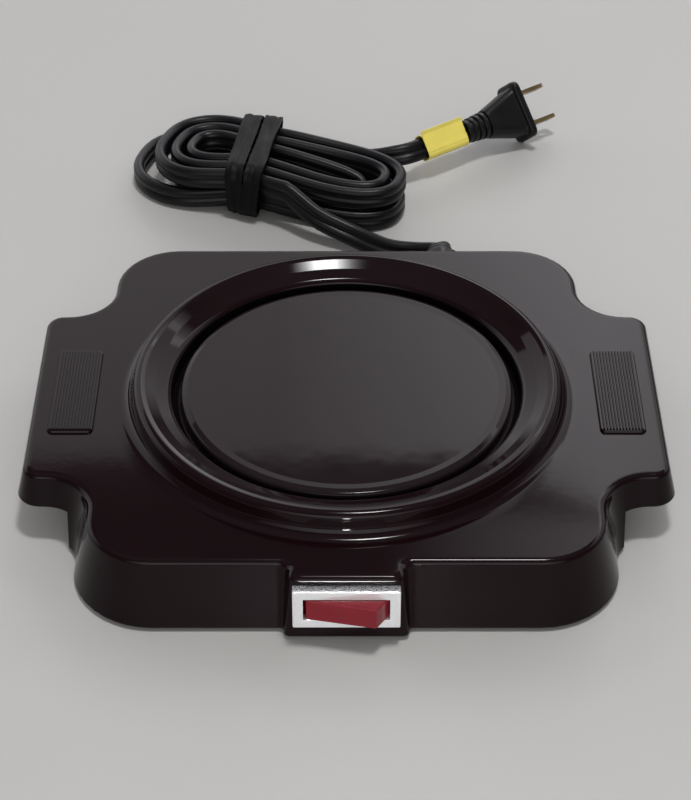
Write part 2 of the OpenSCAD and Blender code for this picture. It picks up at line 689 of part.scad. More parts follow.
module strain_relief() color("#141414") cord_exit() difference() {
    rotate_extrude() polygon(rounded([[0, relief_in], [relief_r - 0.4, relief_in],
        [relief_r + 1, inner_y - fit_gap], [relief_r, inner_y - fit_gap], [relief_r, flange_y],
        [relief_r + 1.4, flange_y], [relief_r + 1.4, flange_y + 1.8, 0.6], [relief_r - 0.4, flange_y + 2.4, 0.4],
        [relief_r - 1.6, relief_y], [0, relief_y]]));
    for (s = [-1, 1]) translate([s * 2.2, 0, relief_in - past]) cylinder(r = wire_r + run_gap, h = past + 1);
}

cord_six = [for (p = [[2, 0], [1, 2], [-1, 2], [-2, 0], [-1, -2], [1, -2]]) [p.x * cord_w, p.y * cord_t] / 4];
cord_eight = [for (p = [[5, 2], [3, 5], [-3, 5], [-5, 2], [-5, -2], [-3, -5], [3, -5], [5, -2]])
    [p.x * cord_w, p.y * cord_t] / 10];

// Hank: flat loops on edge, spiralling in on top, coming down a layer and spiralling out on the table
function dip(t) = t <= turns_in ? t
    : t <= turns_in + turns_climb ? turns_in + climb_dip * sin(180 * (t - turns_in) / turns_climb)
    : 2 * turns_in + turns_climb - t;
function climb(t) = smooth(max(0, min(1, (t - turns_in) / turns_climb)));
function stray_out(t) = let (s = (t - turns_all + 0.25) / stray_span)
    abs(s) < 1 ? stray * cos(90 * s) * cos(90 * s) : 0;
function fade(u, length) = exp(-u * u / (2 * length * length));
function hank_flat(t) = let (g = -90 - 360 * t, c = cos(g), s = sin(g), side = sign(s),
        slim = hank_pitch * dip(t), out = stray_out(t),
        u = c * ((c < 0 ? hank_left : hank_right) - slim + out),
        swell = c < 0 ? -c * hank_swell[0] : c * hank_swell[1],
        draw_in = hank_waist * fade(u, waist_l[c < 0 ? 0 : 1]))
    [u, side * ((hank_half + swell - slim + 0.6 * out) * pow(abs(s), 0.8) - draw_in * abs(s))];
function hank_height(t) = let (u = hank_flat(t).x)
    cord_w / 2 + table_gap + tie_lift * fade(u, waist_l[0]) + layer_h * (1 - climb(t));
function hank_spot(t) = let (p = hank_flat(t), c = cos(hank_turn), s = sin(hank_turn))
    [hank_at.x + p.x * c - p.y * s, hank_at.y + p.x * s + p.y * c, hank_height(t)];
hank_line = [for (k = [0 : turns_all * loop_rings]) hank_spot(k / loop_rings)];
hank_last = len(hank_line) - 1;
hank_in = -[cos(hank_turn - end_lean), sin(hank_turn - end_lean), 0];
hank_out = [cos(hank_turn + end_lean), sin(hank_turn + end_lean), 0];
hank_start = hank_line[0] - cord_w * hank_in;
hank_end = hank_line[hank_last] + cord_w * hank_out;
hank_path = concat([hank_start], hank_line, [hank_end]);

// Least gap of the hank to itself: the clear distance in plan or in height, whichever is more
function stretch_gap(p, a, b) = let (d = b - a, s = max(0, min(1, ((p - a) * d) / (d * d))), q = p - a - s * d)
    max(norm([q.x, q.y]) - cord_t, abs(q.z) - cord_w);
least_gap = min([for (i = [0 : hank_last], j = [i + 6 : 1 : hank_last - 1])
    stretch_gap(hank_line[i], hank_line[j], hank_line[j + 1])]);
echo(str("hank least gap ", least_gap, " mm"));

function lengths(path) = [for (i = [1 : len(path) - 1]) norm(path[i] - path[i - 1])];
function total(list) = list * [for (x = list) 1];

relief_end = [relief_x, relief_y, relief_z];
lead_path = concat([relief_end], spline(concat([relief_end + [0, 2, 0]],
    [for (p = lead_points) rear + p], [hank_start - cord_w * hank_in]), 2), [hank_start]);
plug_axis = [cos(plug_turn), sin(plug_turn), 0];
plug_wide = [-sin(plug_turn) * cos(plug_roll), cos(plug_turn) * cos(plug_roll), sin(plug_roll)];
plug_rear = plug_face - plug_l * plug_axis;
tail_path = concat([hank_end], spline(concat([hank_end + cord_w * hank_out],
    [for (p = tail_points) rear + p], [plug_rear - (tag_l + cord_w / 2) * plug_axis]), 2), [plug_rear - tag_l / 2 * plug_axis, plug_rear]);
echo(str("cord length ", total(lengths(lead_path)) + total(lengths(hank_path)) + total(lengths(tail_path))));

module cord_lead() color("#18191a") {
    n = len(lead_path) - 1;
    sweep(lead_path, [for (i = [0 : n]) let (s = sin(180 * i / n))
        (1 - s) * (i < n / 2 ? [1, 0, 0] : [0, 0, 1]) + s * lead_lean], cord_eight);
}

module cord_hank() color("#18191a") sweep(hank_path, [for (p = hank_path) [0, 0, 1]], cord_six);

module cord_tail() color("#18191a") {
    n = len(tail_path) - 1;
    sweep(tail_path, [for (i = [0 : n]) let (s = smooth(min(1, 1.4 * i / n))) (1 - s) * [0, 0, 1] + s * plug_wide],
        cord_eight);
}

// Band wound twice round the waist of the hank
module hank_tie() color("#101011") {
    reach = (tie_step + tie_w) / 2;
    half = hank_half - hank_waist * fade(reach, waist_l[0]) + cord_t / 2 + 2 * soft_gap;
    low = tie_t + table_gap;
    high = table_gap + tie_lift + cord_w + layer_h + 2 * soft_gap;
    translate([hank_at.x, hank_at.y, 0]) rotate(hank_turn) difference() {
        for (s = [-1, 1]) translate([s * tie_step / 2, 0, 0]) rotate([90, 0, 90])
            linear_extrude(height = tie_w, center = true) translate([0, (low + high) / 2])
                polygon(plate_outline(2 * half + 2 * tie_t, high - low + 2 * tie_t, 5));
        rotate([90, 0, 90]) linear_extrude(height = 4 * tie_w, center = true) translate([0, (low + high) / 2])
            polygon(plate_outline(2 * half, high - low, 4));
    }
}

// Children are drawn in the plug's own frame: blades along X, one blade above the other along Y
module at_plug() translate(plug_face) rotate([0, 0, plug_turn]) rotate([plug_roll, 0, 0]) children();

module cord_tag() color("#e8d24a") at_plug() translate([-plug_l - tag_l, 0, 0]) rotate([90, 0, 90]) difference() {
    linear_extrude(height = tag_l - 1) polygon(plate_outline(cord_w + 1.8, cord_t + 1.8, 1.6));
    translate([0, 0, -past]) linear_extrude(height = tag_l + past)
        polygon(plate_outline(cord_w + soft_gap, cord_t + soft_gap, 1));
}

module plug_body() color("#131314") at_plug() difference() {
    union() {
        translate([-plug_flange.x, 0, 0]) rotate([90, 0, 90]) linear_extrude(height = plug_flange.x)
            polygon(plate_outline(plug_flange.y, plug_flange.z, 3));
        linear_extrude(height = plug_flange.z - 4, center = true) polygon(rounded([
            [-plug_flange.x / 2, -9.5], [-plug_flange.x / 2, 9.5], [-8, 8.6, 3], [-plug_l + 9, 5.4, 1.5],
            [-plug_l + 9, -5.4, 1.5], [-8, -8.6, 3]]));
        rotate([0, -90, 0]) rotate_extrude() polygon(concat([[0, plug_l - 10]], [for (k = [0 : 3])
            each [[5.2 - k * 0.2, plug_l - 10 + k * 2.5], [5.2 - k * 0.2, plug_l - 8.4 + k * 2.5],
                  [4.2, plug_l - 8.4 + k * 2.5], [4.2, plug_l - 7.5 + k * 2.5]]], [[0, plug_l]]));
    }
    blades(run_gap);
}

module blades(gap) for (s = [-1, 1]) translate([0, s * blade_gap / 2, 0])
    translate([-6 - gap, -blade.y / 2 - gap, -blade.z / 2 - gap])
        cube([blade.x + 6 + gap, blade.y + 2 * gap, blade.z + 2 * gap]);

module plug_blades() color("#b9975a") at_plug() blades(0);

body_shell();
hot_plate();
plate_gasket();
heating_element();
element_insulators();
element_clamp();
heat_shield();
stud_nuts();
base_plate();
base_screws();
rubber_feet();
switch_bezel();
switch_body();
rocker();
plunger();
contact_arm();
switch_terminals();
pilot_lamp();
tab_connectors();
crimp_terminals();
wire_line();
wire_switched();
wire_neutral();
strain_relief();
cord_lead();
cord_hank();
hank_tie();
cord_tail();
cord_tag();
plug_body();
plug_blades();
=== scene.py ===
import math

import bmesh
import bpy
from mathutils import Matrix, Vector, noise


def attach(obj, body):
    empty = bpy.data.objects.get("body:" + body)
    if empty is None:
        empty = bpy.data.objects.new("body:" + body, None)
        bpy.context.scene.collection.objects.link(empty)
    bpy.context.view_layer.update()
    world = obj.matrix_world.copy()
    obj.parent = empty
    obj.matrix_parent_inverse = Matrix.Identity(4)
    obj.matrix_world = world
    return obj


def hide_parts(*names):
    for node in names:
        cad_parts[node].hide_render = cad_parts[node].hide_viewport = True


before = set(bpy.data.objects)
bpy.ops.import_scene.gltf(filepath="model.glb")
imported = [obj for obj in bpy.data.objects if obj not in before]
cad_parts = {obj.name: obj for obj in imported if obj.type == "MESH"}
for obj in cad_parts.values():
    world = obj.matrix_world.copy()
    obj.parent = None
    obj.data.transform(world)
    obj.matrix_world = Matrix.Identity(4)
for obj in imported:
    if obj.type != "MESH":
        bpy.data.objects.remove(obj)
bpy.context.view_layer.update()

# Camera
# It stands in front of the switch and looks down over the plate to the cord, as the photograph does.
# The focal length is for a 36 mm sensor along the picture's long side.
camera_data = bpy.data.cameras.new("camera")
camera_data.lens = 100.674
camera_data.sensor_width = 36
camera_data.shift_x = -0.00125
camera_data.clip_start = 0.01
camera_data.clip_end = 20
camera = bpy.data.objects.new("camera", camera_data)
camera.location = (0, -0.56685, 0.4722)
camera.rotation_euler = (math.radians(90 - 38.566), 0, 0)
bpy.context.scene.collection.objects.link(camera)
bpy.context.scene.camera = camera
bpy.context.scene.view_settings.view_transform = "Standard"


# Table
# A plain pale painted table top with a dull sheen, far larger than what the camera sees.
# The functions here put together every material below.
def linear(hex_colour):
    """An sRGB hex colour as linear RGBA."""
    parts = [int(hex_colour[i:i + 2], 16) / 255 for i in (1, 3, 5)]
    return [c / 12.92 if c <= 0.04045 else ((c + 0.055) / 1.055) ** 2.4 for c in parts] + [1]


def add_node(tree, kind, inputs, **settings):
    """Adds a node. An input is a plain value, or another node's output socket, which is linked."""
    made = tree.nodes.new(kind)
    for name, value in settings.items():
        setattr(made, name, value)
    for socket, value in inputs.items():
        if isinstance(value, bpy.types.NodeSocket):
            tree.links.new(value, made.inputs[socket])
        else:
            made.inputs[socket].default_value = value
    return made


def ramp(tree, value, low, high, start, end):
    """A socket that goes from start to end while a value goes from low to high."""
    return add_node(tree, "ShaderNodeMapRange", {"Value": value, "From Min": low, "From Max": high,
                                                 "To Min": start, "To Max": end}).outputs["Result"]


def figure(tree, operation, first, second):
    """A socket with the result of a sum on two values."""
    return add_node(tree, "ShaderNodeMath", {0: first, 1: second}, operation=operation).outputs["Value"]


def start_material(name, **shader_values):
    """A material whose Principled shader has these constant values: the material, its tree, its shader."""
    material = bpy.data.materials.new(name)
    material.use_nodes = True
    shader = material.node_tree.nodes["Principled BSDF"]
    for socket, value in shader_values.items():
        shader.inputs[socket.replace("_", " ")].default_value = value
    return material, material.node_tree, shader


def mottled(name, dark, light, rough, grain_mm, peel_mm, peel_depth_mm, **shader_values):
    """A finish whose colour and roughness drift over patches of grain_mm, on a skin with bumps of peel_mm."""
    material, tree, shader = start_material(name, **shader_values)
    place = add_node(tree, "ShaderNodeTexCoord", {}).outputs["Object"]
    cloud = add_node(tree, "ShaderNodeTexNoise", {"Vector": place, "Scale": 1000 / grain_mm, "Detail": 4})
    tone = add_node(tree, "ShaderNodeMix", {"Factor": cloud.outputs["Fac"], 6: linear(dark), 7: linear(light)},
                    data_type="RGBA")
    tree.links.new(tone.outputs[2], shader.inputs["Base Color"])
    tree.links.new(ramp(tree, cloud.outputs["Fac"], 0.3, 0.7, *rough), shader.inputs["Roughness"])
    peel = add_node(tree, "ShaderNodeTexNoise", {"Vector": place, "Scale": 1000 / peel_mm, "Detail": 2})
    bump = add_node(tree, "ShaderNodeBump", {"Height": peel.outputs["Fac"], "Distance": peel_depth_mm / 1000})
    tree.links.new(bump.outputs["Normal"], shader.inputs["Normal"])
    return material


# Paint rolled on a board: an even pale grey with the faintest stipple.
table_paint = mottled("table_rolled_paint", "#b0afac", "#b6b5b2", (0.45, 0.55), 60, 2.5, 0.01, IOR=1.4)
floor_mesh = bpy.data.meshes.new("floor")
bm = bmesh.new()
bmesh.ops.create_grid(bm, x_segments=1, y_segments=1, size=4)
bm.to_mesh(floor_mesh)
bm.free()
floor_mesh.materials.append(table_paint)
floor = bpy.data.objects.new("floor", floor_mesh)
bpy.context.scene.collection.objects.link(floor)

# Studio light
# A bright wall stands behind the object, between heights given as sines of elevation. It is brightest a
# little to the right, where it rises higher and goes on above a dark rail, and it reaches lower on the left.
# All else is dim. A lamp overhead, fading to its ends, gives the glints. A soft box in front fills, and a
# narrow low beam lights the switch.
WALL_LOW = (0.2, 0.36)
WALL_TOP = (0.640, 0.646)
WALL_PLAIN = 1.38
WALL_BRIGHT = 3.8
ABOVE_RAIL = 2.2
world = bpy.data.worlds.new("studio")
bpy.context.scene.world = world
world.use_nodes = True
tree = world.node_tree
direction = add_node(tree, "ShaderNodeTexCoord", {}).outputs["Generated"]
way = add_node(tree, "ShaderNodeSeparateXYZ", {"Vector": direction}).outputs
brighter = ramp(tree, way["X"], -0.03, 0.12, WALL_PLAIN, WALL_BRIGHT)
fading = ramp(tree, way["X"], 0.11, 0.26, WALL_BRIGHT, WALL_PLAIN)
rise = figure(tree, "ADD", ramp(tree, way["X"], -0.2, -0.04, -0.008, 0), ramp(tree, way["X"], 0.06, 0.26, 0, 0.05))
reach = ramp(tree, way["X"], -0.5, 0, 0.25, 0)
wall = figure(tree, "MINIMUM", brighter, fading)
for edge in (ramp(tree, figure(tree, "SUBTRACT", way["Z"], rise), *WALL_TOP, 1, 0),
             ramp(tree, figure(tree, "ADD", way["Z"], reach), *WALL_LOW, 0, 1)):
    wall = figure(tree, "MULTIPLY", wall, edge)
above = ramp(tree, way["X"], 0.02, 0.11, 0, ABOVE_RAIL)
for edge in (ramp(tree, way["Z"], 0.657, 0.662, 0, 1), ramp(tree, way["Z"], 0.7, 0.75, 1, 0)):
    above = figure(tree, "MULTIPLY", above, edge)
behind = figure(tree, "MULTIPLY", figure(tree, "ADD", wall, above), ramp(tree, way["Y"], 0, 0.4, 0, 1))
room = figure(tree, "ADD", behind, ramp(tree, way["Z"], 0.7, 0.95, 0.16, 0.4))
tree.links.new(room, tree.nodes["Background"].inputs["Strength"])
tree.nodes["Background"].inputs["Color"].default_value = linear("#fcfbff")


def hang(name, lamp_data, at):
    """Hangs a lamp at a place, its width along X, tipped towards the object."""
    lamp = bpy.data.objects.new(name, lamp_data)
    lamp.location = at
    lamp.rotation_euler = (math.atan2(-at[1], at[2]), 0, 0)
    bpy.context.scene.collection.objects.link(lamp)


def soft_box(name, at, width, height, watts, power):
    """A flat lamp that fades to its ends, quicker with a higher power."""
    lamp_data = bpy.data.lights.new(name, "AREA")
    lamp_data.shape = "RECTANGLE"
    lamp_data.size = width
    lamp_data.size_y = height
    lamp_data.energy = watts
    lamp_data.use_nodes = True
    tree = lamp_data.node_tree
    across_lamp = add_node(tree, "ShaderNodeNewGeometry", {}).outputs["Parametric"]
    along = add_node(tree, "ShaderNodeSeparateXYZ", {"Vector": across_lamp}).outputs["X"]
    from_middle = figure(tree, "ABSOLUTE", figure(tree, "SUBTRACT", along, 0.5), 0)
    fade = figure(tree, "POWER", ramp(tree, from_middle, 0.1, 0.5, 1, 0), power)
    tree.links.new(fade, tree.nodes["Emission"].inputs["Strength"])
    hang(name, lamp_data, at)


soft_box("ceiling_lamp", (0.165, 0, 2), 0.8, 0.24, 52, 4)
soft_box("front_fill", (0, -2.6, 1.15), 4.8, 1.6, 55, 1)
beam = bpy.data.lights.new("switch_beam", "SPOT")
beam.energy = 30
beam.spot_size = math.radians(4)
beam.spot_blend = 0.5
beam.shadow_soft_size = 0.05
hang("switch_beam", beam, (0, -1.2, 0.14))

# Housing
# One glossy dark phenolic moulding: a low drafted block with scalloped corners, two lifting ears, a
# stepped ring round the plate and a boss for the switch. It is open below, with 3 mm walls.
BLOCK = (78.5, 80.5)
BLOCK_R = 20.3
EAR = (100.3, 41.5)
EAR_R = 5.2
SCALLOP_R = 15.5
DECK_Z = 23.6
RIM_Z = 1.2
EAR_Z = 13
WALL = 3
DRAFT = math.radians(13.8)
EDGE_R = 2
WEB = 86.5
BOSS = (17.2, 88)
BOSS_DRAFT = math.radians(4)
BOSS_R = 3
BOSS_FILLET = 3.4
LEDGE_R = 49
SEAT_Z = 21.4
SEAT_LOW = 19.4
BORE_R = 56.2
CREST_Z = 31
RING_FOOT = 69.8
FOOT_FILLET = 4
SWITCH_Z = 13.7
BEZEL = (32, 14.4)
SWITCH_BODY = (30, 11.8)
RELIEF = (33.6, 12.5)
RELIEF_R = 6
FLANGE_Y = 85.83
SCREWS = (72, 30)
SCREW_BOSS_R = 4.3
BASE_TOP = 5


def rounded(corners, steps=10, closed=True):
    """A flat line through corners (x, y) or (x, y, radius), each radius made an arc of so many steps."""
    line = []
    for i, corner in enumerate(corners):
        here = Vector(corner[:2])
        if len(corner) < 3 or (not closed and i in (0, len(corners) - 1)):
            line.append(here)
            continue
        before = (Vector(corners[i - 1][:2]) - here).normalized()
        after = (Vector(corners[(i + 1) % len(corners)][:2]) - here).normalized()
        half = before.angle(after) / 2
        centre = here + (before + after).normalized() * corner[2] / math.sin(half)
        start = here + before * corner[2] / math.tan(half) - centre
        end = here + after * corner[2] / math.tan(half) - centre
        turn = math.atan2(start.cross(end), start.dot(end))
        line += [centre + Matrix.Rotation(turn * k / steps, 2) @ start for k in range(steps + 1)]
    return [p for i, p in enumerate(line) if i == 0 or (p - line[i - 1]).length > 1e-5]


def rectangle(width, height, radius, steps=6):
    """An upright rectangle about the origin with rounded corners."""
    x, y = width / 2, height / 2
    return rounded([(-x, -y, radius), (x, -y, radius), (x, y, radius), (-x, y, radius)], steps)


def level(points, z):
    """A flat line lifted to a height."""
    return [Vector((p.x, p.y, z)) for p in points]


def draw_rows(bm, rows):
    """Draws a closed row of points and extrudes it to each of the next. Returns the first and last loops."""
    verts = [bm.verts.new(p) for p in rows[0]]
    first = loop = [bm.edges.new(pair) for pair in zip(verts, verts[1:] + verts[:1])]
    for row in rows[1:]:
        made = set(bmesh.ops.extrude_edge_only(bm, edges=loop)["geom"])
        raised = []
        for old, p in zip(verts, row):
            new = next(e.other_vert(old) for e in old.link_edges if e.other_vert(old) in made)
            new.co = p
            raised.append(new)
        verts = raised
        loop = [bm.edges.get(pair) for pair in zip(verts, verts[1:] + verts[:1])]
    return first, loop


def spin_profile(bm, points, steps=180):
    """Turns a line of (radius, height) points round the Z axis. Returns its first and last circles."""
    verts = [bm.verts.new((p.x, 0, p.y)) for p in points]
    edges = [bm.edges.new(pair) for pair in zip(verts, verts[1:])]
    spun = len(bm.verts) - len(verts)
    bmesh.ops.spin(bm, geom=verts + edges, cent=(0, 0, 0), axis=(0, 0, 1), angle=math.tau, steps=steps,
                   use_merge=True)
    bm.verts.ensure_lookup_table()
    bmesh.ops.remove_doubles(bm, verts=bm.verts[spun:], dist=1e-4)
    return [[e for e in bm.edges if e.is_boundary and all(
        abs(v.co.z - p.y) < 1e-3 and abs(v.co.xy.length - p.x) < 1e-3 for v in e.verts)]
        for p in (points[0], points[-1])]


def cap(bm, *loops):
    """Fills a closed loop, or the flat region between two."""
    bmesh.ops.triangle_fill(bm, edges=[e for loop in loops for e in loop], use_beauty=True)


def as_object(name, bm, material):
    """Makes an object of a mesh that is drawn in millimetres, with its faces turned outwards."""
    bmesh.ops.recalc_face_normals(bm, faces=bm.faces)
    bmesh.ops.scale(bm, vec=(0.001,) * 3, verts=bm.verts)
    mesh = bpy.data.meshes.new(name)
    bm.to_mesh(mesh)
    bm.free()
    mesh.materials.append(material)
    made = bpy.data.objects.new(name, mesh)
    bpy.context.scene.collection.objects.link(made)
    return made


def finish_piece(piece, body, slot, *nodes, sharp_degrees=35):
    """Shades a piece, lets it ride on its body and lets it stand for its CAD nodes. Its slot is not used."""
    piece.data.shade_smooth()
    piece.data.set_sharp_from_angle(angle=math.radians(sharp_degrees))
    piece.modifiers.new("flat_faces_first", "WEIGHTED_NORMAL").keep_sharp = True
    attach(piece, body)
    if nodes:
        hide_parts(*nodes)
    return piece


def combine(piece, tools, operation):
    """Cuts tools from a piece, or joins them to it, and removes them."""
    for tool in tools:
        change = piece.modifiers.new(tool.name, "BOOLEAN")
        change.operation = operation
        change.object = tool
        change.solver = "EXACT"
    bpy.context.view_layer.update()
    result = bpy.data.meshes.new_from_object(piece.evaluated_get(bpy.context.evaluated_depsgraph_get()))
    piece.modifiers.clear()
    piece.data = result
    for tool in tools:
        bpy.data.objects.remove(tool)


def block(low, high):
    """A box between two corners."""
    bm = bmesh.new()
    bmesh.ops.create_cube(bm, size=1)
    bmesh.ops.scale(bm, vec=[b - a for a, b in zip(low, high)], verts=bm.verts)
    bmesh.ops.translate(bm, vec=[(a + b) / 2 for a, b in zip(low, high)], verts=bm.verts)
    return bm


def rod(radius, low, high, at=(0, 0)):
    """An upright rod between two heights."""
    bm = bmesh.new()
    bmesh.ops.create_cone(bm, cap_ends=True, segments=64, radius1=radius, radius2=radius, depth=high - low)
    bmesh.ops.translate(bm, vec=(at[0], at[1], (low + high) / 2), verts=bm.verts)
    return bm


def at_cord_exit(bm):
    """Turns what is drawn along +Z to point out of the back wall, on the cord's line."""
    bmesh.ops.rotate(bm, cent=(0, 0, 0), matrix=Matrix.Rotation(-math.pi / 2, 3, "X"), verts=bm.verts)
    bmesh.ops.translate(bm, vec=(RELIEF[0], 0, RELIEF[1]), verts=bm.verts)
    return bm


def stand_out(drop, draft):
    """How far a drafted wall with a rounded top edge stands out, this far below the deck."""
    if drop < EDGE_R * (1 - math.sin(draft)):
        return math.sqrt(EDGE_R ** 2 - (EDGE_R - drop) ** 2) - EDGE_R * math.tan((math.pi / 2 - draft) / 2)
    return drop * math.tan(draft)


def housing_outline(out, boss_out=None):
    """The housing's plan with its walls moved outwards by out, with or without the switch boss."""
    right = [(BLOCK[0] + out, -BLOCK[1] - out, BLOCK_R + out), (BLOCK[0] + out, -EAR[1] - out, SCALLOP_R - out),
             (EAR[0] + out, -EAR[1] - out, EAR_R + out)]
    right += [(x, -y, r) for x, y, r in reversed(right)]
    if boss_out is not None:
        step = BOSS[1] + boss_out - BLOCK[1] - out
        right = [(BOSS[0] + boss_out, -BOSS[1] - boss_out, min(BOSS_R, 0.45 * step)),
                 (BOSS[0] + boss_out, -BLOCK[1] - out, min(BOSS_FILLET, 0.5 * step))] + right
    return rounded(right + [(-x, y, r) for x, y, r in reversed(right)])


def wall_row(drop, tuck=0):
    """The housing's wall at one height, tucked in a little at the rim."""
    return level(housing_outline(stand_out(drop, DRAFT) - tuck, stand_out(drop, BOSS_DRAFT) - tuck), DECK_Z - drop)


def hollow(profile):
    """The hollow under the deck, up to the roof or, inside a circle, up to a turned profile."""
    bm = bmesh.new()
    low = RIM_Z - 1
    inset = WALL / math.cos(DRAFT)
    bottom, top = draw_rows(bm, [
        level(housing_outline((DECK_Z - z) * math.tan(DRAFT) - inset), z) for z in (low, DECK_Z - WALL)])
    cap(bm, bottom)
    cap(bm, top, *([spin_profile(bm, profile)[0]] if profile else []))
    return bm


def paint_faces(piece, material, chosen):
    """Gives another material to the faces whose centre (in mm) and normal pass a test."""
    piece.data.materials.append(material)
    for face in piece.data.polygons:
        if chosen(face.center * 1000, face.normal):
            face.material_index = len(piece.data.materials) - 1


def keep_beyond(bm, x, side):
    """Keeps what lies on one side of a plane across X, and closes the cut."""
    cut = bmesh.ops.bisect_plane(bm, geom=bm.verts[:] + bm.edges[:] + bm.faces[:], plane_co=(x, 0, 0),
                                 plane_no=(-side, 0, 0), clear_outer=True)
    cap(bm, [e for e in cut["geom_cut"] if isinstance(e, bmesh.types.BMEdge)])


# Phenolic from a polished mould: near black with a brown cast and a wet gloss, a faint orange peel in
# its reflections, and patches a little duller from handling.
phenolic = mottled("phenolic_polished_moulding", "#110508", "#16090c", (0.045, 0.065), 24, 3.2, 0.003, IOR=1.25)

bm = bmesh.new()
edge_drops = [EDGE_R * (1 - math.cos(math.radians(a))) for a in (0, 12, 24, 36, 48, 60, 70, 76.2, 86)]
rows = [level(wall_row(0, 0.8), DECK_Z)] + [wall_row(drop) for drop in edge_drops + [DECK_Z - RIM_Z - 0.5]]
rows.append(wall_row(DECK_Z - RIM_Z, 0.35))
deck_edge, rim = draw_rows(bm, rows)
ring_foot, ledge_rim = spin_profile(bm, rounded([
    (RING_FOOT + 1.6 * FOOT_FILLET, DECK_Z), (RING_FOOT, DECK_Z, FOOT_FILLET), (68.2, CREST_Z, 2.4),
    (65.9, CREST_Z, 3), (64.6, 30.7, 0.6), (61.2, 28.9, 5), (56.9, 27.2, 3.2), (BORE_R, 25.9, 0.4),
    (BORE_R, SEAT_Z), (LEDGE_R, SEAT_Z), (LEDGE_R, RIM_Z)], closed=False))
cap(bm, deck_edge, ring_foot)
cap(bm, rim, ledge_rim)
housing = as_object("body_shell_moulding", bm, phenolic)

ring_under = RING_FOOT + 2 * FOOT_FILLET
middle = hollow([Vector(p) for p in ((ring_under, DECK_Z - WALL), (ring_under, SEAT_LOW), (0, SEAT_LOW))])
keep_beyond(middle, WALL - WEB, 1)
keep_beyond(middle, WEB - WALL, -1)
cutters = [as_object("hollow_middle", middle, phenolic)]
for side in (-1, 1):
    ear = hollow(None)
    keep_beyond(ear, side * WEB, side)
    cutters.append(as_object(f"hollow_ear_{side}", ear, phenolic))
    ends = sorted((side * WEB, side * 120))
    cutters.append(as_object(f"below_ear_{side}", block((ends[0], -90, -1), (ends[1], 90, EAR_Z)), phenolic))
combine(housing, cutters, "DIFFERENCE")
bosses = [as_object("exit_boss", at_cord_exit(rod(RELIEF_R + 2.5, 79, FLANGE_Y)), phenolic)]
for sx in (-1, 1):
    for sy in (-1, 1):
        post = rod(SCREW_BOSS_R, BASE_TOP, DECK_Z - 1.5, (sx * SCREWS[0], sy * SCREWS[1]))
        bosses.append(as_object(f"screw_boss_{sx}_{sy}", post, phenolic))
combine(housing, bosses, "UNION")
holes = [as_object("exit_hole", at_cord_exit(rod(RELIEF_R + 0.05, 60, 100)), phenolic)]
for name, (width, height), back in (("switch_hole", SWITCH_BODY, -60), ("bezel_seat", BEZEL, -BOSS[1])):
    x, z = width / 2 + 0.1, height / 2 + 0.1
    holes.append(as_object(name, block((-x, -100, SWITCH_Z - z), (x, back, SWITCH_Z + z)), phenolic))
combine(housing, holes, "DIFFERENCE")
# The bore round the plate gets a near black, dull phenolic: painted shade for the deep gap, black in its own shade.
bore_painted_shade = mottled("phenolic_bore_painted_shade", "#060404", "#090606", (0.75, 0.85), 10, 1.5, 0.01, IOR=1.1)
paint_faces(housing, bore_painted_shade, lambda at, normal: at.xy.length < BORE_R + 0.3 and at.z < 26.2)
finish_piece(housing, "housing", "body_plastic", "body_shell", sharp_degrees=30)

# Thumb pads
# A raised panel of fine ribs on each ear, moulded with the housing, so that fingers don't slip.
# Each rib has a rounded top, and they run front to back.
PAD_X = 87.5
PAD = (14, 42)
PAD_RIBS = 13
RIB_PITCH = PAD[0] / (PAD_RIBS + 1)
PAD_TOP = DECK_Z + 0.85
RIB_TOP = DECK_Z + 1.35
bm = bmesh.new()
pad_rows = [(0.8, DECK_Z - 0.3), (0.8, DECK_Z + 0.05), (0.2, PAD_TOP - 0.2), (0, PAD_TOP - 0.05), (-0.4, PAD_TOP)]
low, high = draw_rows(bm, [
    level(rectangle(PAD[0] + grow, PAD[1] + grow, 1.5 + grow / 2), z) for grow, z in pad_rows])
cap(bm, low)
cap(bm, high)
for k in range(PAD_RIBS):
    made = bmesh.ops.create_cube(bm, size=1)["verts"]
    bmesh.ops.scale(bm, vec=(0.55 * RIB_PITCH, PAD[1] - 1.6, RIB_TOP - DECK_Z), verts=made)
    bmesh.ops.translate(bm, vec=((k + 1) * RIB_PITCH - PAD[0] / 2, 0, (RIB_TOP + DECK_Z) / 2), verts=made)
    top = {e for v in made for e in v.link_edges if all(w.co.z > RIB_TOP - 0.1 for w in e.verts)}
    bmesh.ops.bevel(bm, geom=list(top), offset=0.2, segments=3, profile=0.5, affect="EDGES", material=-1)
right_pad = bm.verts[:]
twin = bmesh.ops.duplicate(bm, geom=bm.verts[:] + bm.edges[:] + bm.faces[:])["geom"]
bmesh.ops.translate(bm, vec=(PAD_X, 0, 0), verts=right_pad)
bmesh.ops.translate(bm, vec=(-PAD_X, 0, 0), verts=[v for v in twin if isinstance(v, bmesh.types.BMVert)])
finish_piece(as_object("thumb_pads", bm, phenolic), "housing", "body_plastic")

# Hot plate
# A pressed steel disc with a rolled edge, enamelled in a dark grey, that sits on a ring of fibre.
# A stud welded to its middle holds the heating stack below.
PLATE_R = 53.5
PLATE_Z = 26.5
PLATE_T = 2
RIM_LOW = 22
STUD = (2.5, 8)
